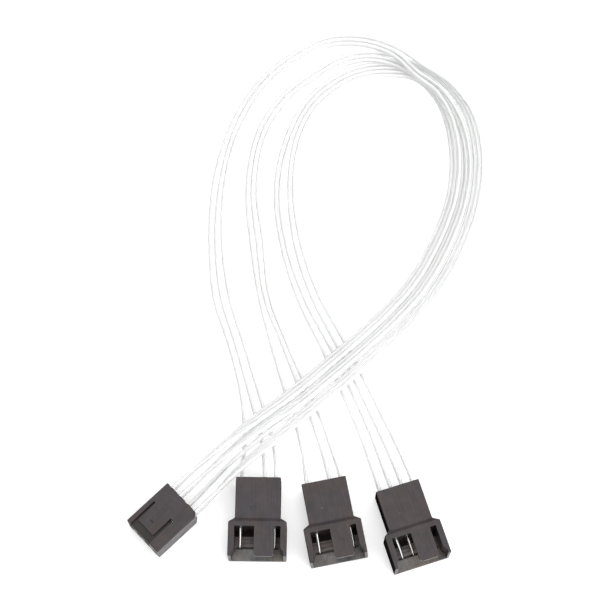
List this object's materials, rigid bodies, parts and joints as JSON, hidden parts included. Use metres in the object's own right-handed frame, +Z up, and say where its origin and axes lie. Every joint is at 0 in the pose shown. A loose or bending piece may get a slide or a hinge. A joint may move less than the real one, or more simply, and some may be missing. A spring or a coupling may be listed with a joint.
{
  "type": "fan splitter cable",
  "caption": "Splitter cable: loose clear wires run from a fan header socket in a loop and fan out to shrouded pin plugs for case fans.",
  "frame": {"origin": "middle of the socket housing's underside, on the surface that the cable lies on", "axes": "+Z up; +X along the row of connectors, from the socket towards the plugs; +Y from the plugs towards the loop of wires"},
  "size_m": [0.0829, 0.1355, 0.0073],
  "materials": {
    "housing": "moulded nylon, dark warm grey, satin",
    "contact": "tin-plated folded brass and square pins, silvery",
    "wire": "clear to white insulation over silvery twisted strands"
  },
  "bodies": {
    "root": {"socket_housing": "housing", "socket_ground_contact": "contact", "socket_supply_contact": "contact", "socket_speed_contact": "contact", "socket_control_contact": "contact", "plug_1_housing": "housing", "plug_1_ground_pin": "contact", "plug_1_supply_pin": "contact", "plug_1_control_pin": "contact", "plug_2_housing": "housing", "plug_2_ground_pin": "contact", "plug_2_supply_pin": "contact", "plug_2_control_pin": "contact", "plug_3_housing": "housing", "plug_3_ground_pin": "contact", "plug_3_supply_pin": "contact", "plug_3_speed_pin": "contact", "plug_3_control_pin": "contact", "wire_1_ground": "wire", "wire_1_supply": "wire", "wire_1_control": "wire", "wire_2_ground": "wire", "wire_2_supply": "wire", "wire_2_control": "wire", "wire_3_ground": "wire", "wire_3_supply": "wire", "wire_3_speed": "wire", "wire_3_control": "wire"}
  },
  "joints": []
}
